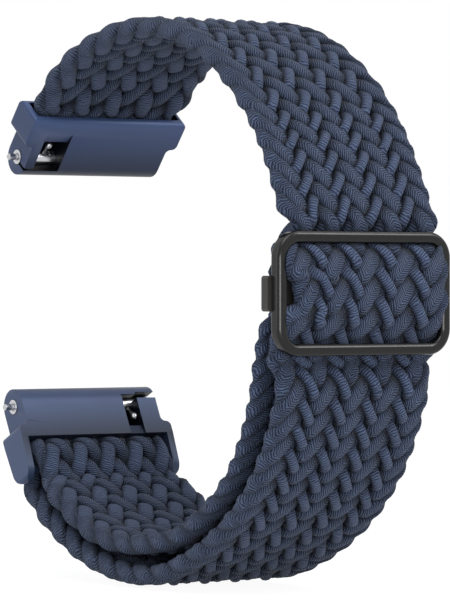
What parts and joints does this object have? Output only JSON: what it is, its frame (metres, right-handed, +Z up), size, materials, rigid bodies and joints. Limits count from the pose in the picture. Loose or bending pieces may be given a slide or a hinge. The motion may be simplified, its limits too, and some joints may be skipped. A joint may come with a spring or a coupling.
{
  "type": "fabric watch strap",
  "caption": "Woven elastic watch strap in a loop: two lug connectors with quick-release spring bars and a rectangular size slider on the side.",
  "frame": {"origin": "middle of the top spring bar's axis, halfway across the strap", "axes": "+X from the watch side towards the slider, +Y along the spring bars towards the far edge of the strap, +Z up through the standing loop"},
  "size_m": [0.062, 0.0254, 0.0667],
  "materials": {
    "connector_shell": "satin navy",
    "polished_steel": "polished",
    "spring_wire": "drawn wire",
    "slider_metal": "satin near-black",
    "strap_weave": "braided cord, slate navy",
    "sewing_thread": "thread"
  },
  "bodies": {
    "strap": {"top_connector": "connector_shell", "top_bar_tube": "polished_steel", "top_bar_spring": "spring_wire", "strap_anchor_end": "strap_weave", "strap_upper_run": "strap_weave", "strap_inner_run": "strap_weave", "strap_bottom_fold": "strap_weave", "strap_outer_run": "strap_weave"},
    "top_lever_end": {"top_lever_plunger": "polished_steel", "top_lever_knob": "polished_steel"},
    "top_plain_end": {"top_plain_plunger": "polished_steel"},
    "bottom_end": {"bottom_connector": "connector_shell", "bottom_bar_tube": "polished_steel", "bottom_bar_spring": "spring_wire"},
    "bottom_lever_end": {"bottom_lever_plunger": "polished_steel", "bottom_lever_knob": "polished_steel"},
    "bottom_plain_end": {"bottom_plain_plunger": "polished_steel"},
    "slider": {"slider_frame": "slider_metal", "slider_centre_bar": "slider_metal", "strap_end_fold": "strap_weave", "strap_end_stitching": "sewing_thread"}
  },
  "joints": [
    {"name": "top_lever_slide", "type": "slide", "parent": "strap", "child": "top_lever_end", "axis": [0, 1, 0], "range_m": [0, 0.0011], "stiffness_N_per_m": 250, "springref_m": -0.001, "deforming": ["top_bar_spring"]},
    {"name": "top_plain_slide", "type": "slide", "parent": "strap", "child": "top_plain_end", "axis": [0, -1, 0], "range_m": [0, 0.0011], "stiffness_N_per_m": 250, "springref_m": -0.001, "deforming": ["top_bar_spring"]},
    {"name": "bottom_connector_swing", "type": "hinge", "parent": "strap", "child": "bottom_end", "pos_m": [0.0027, 0, -0.03836], "axis": [0, 1, 0], "range_deg": [-10, 10]},
    {"name": "bottom_lever_slide", "type": "slide", "parent": "bottom_end", "child": "bottom_lever_end", "axis": [0, -1, 0], "range_m": [0, 0.0011], "stiffness_N_per_m": 250, "springref_m": -0.001, "deforming": ["bottom_bar_spring"]},
    {"name": "bottom_plain_slide", "type": "slide", "parent": "bottom_end", "child": "bottom_plain_end", "axis": [0, 1, 0], "range_m": [0, 0.0011], "stiffness_N_per_m": 250, "springref_m": -0.001, "deforming": ["bottom_bar_spring"]},
    {"name": "slider_travel", "type": "hinge", "parent": "strap", "child": "slider", "pos_m": [0.0261, 0, -0.0168], "axis": [0, -1, 0], "range_deg": [-8, 12], "deforming": ["strap_upper_run", "strap_inner_run", "strap_outer_run"]}
  ]
}
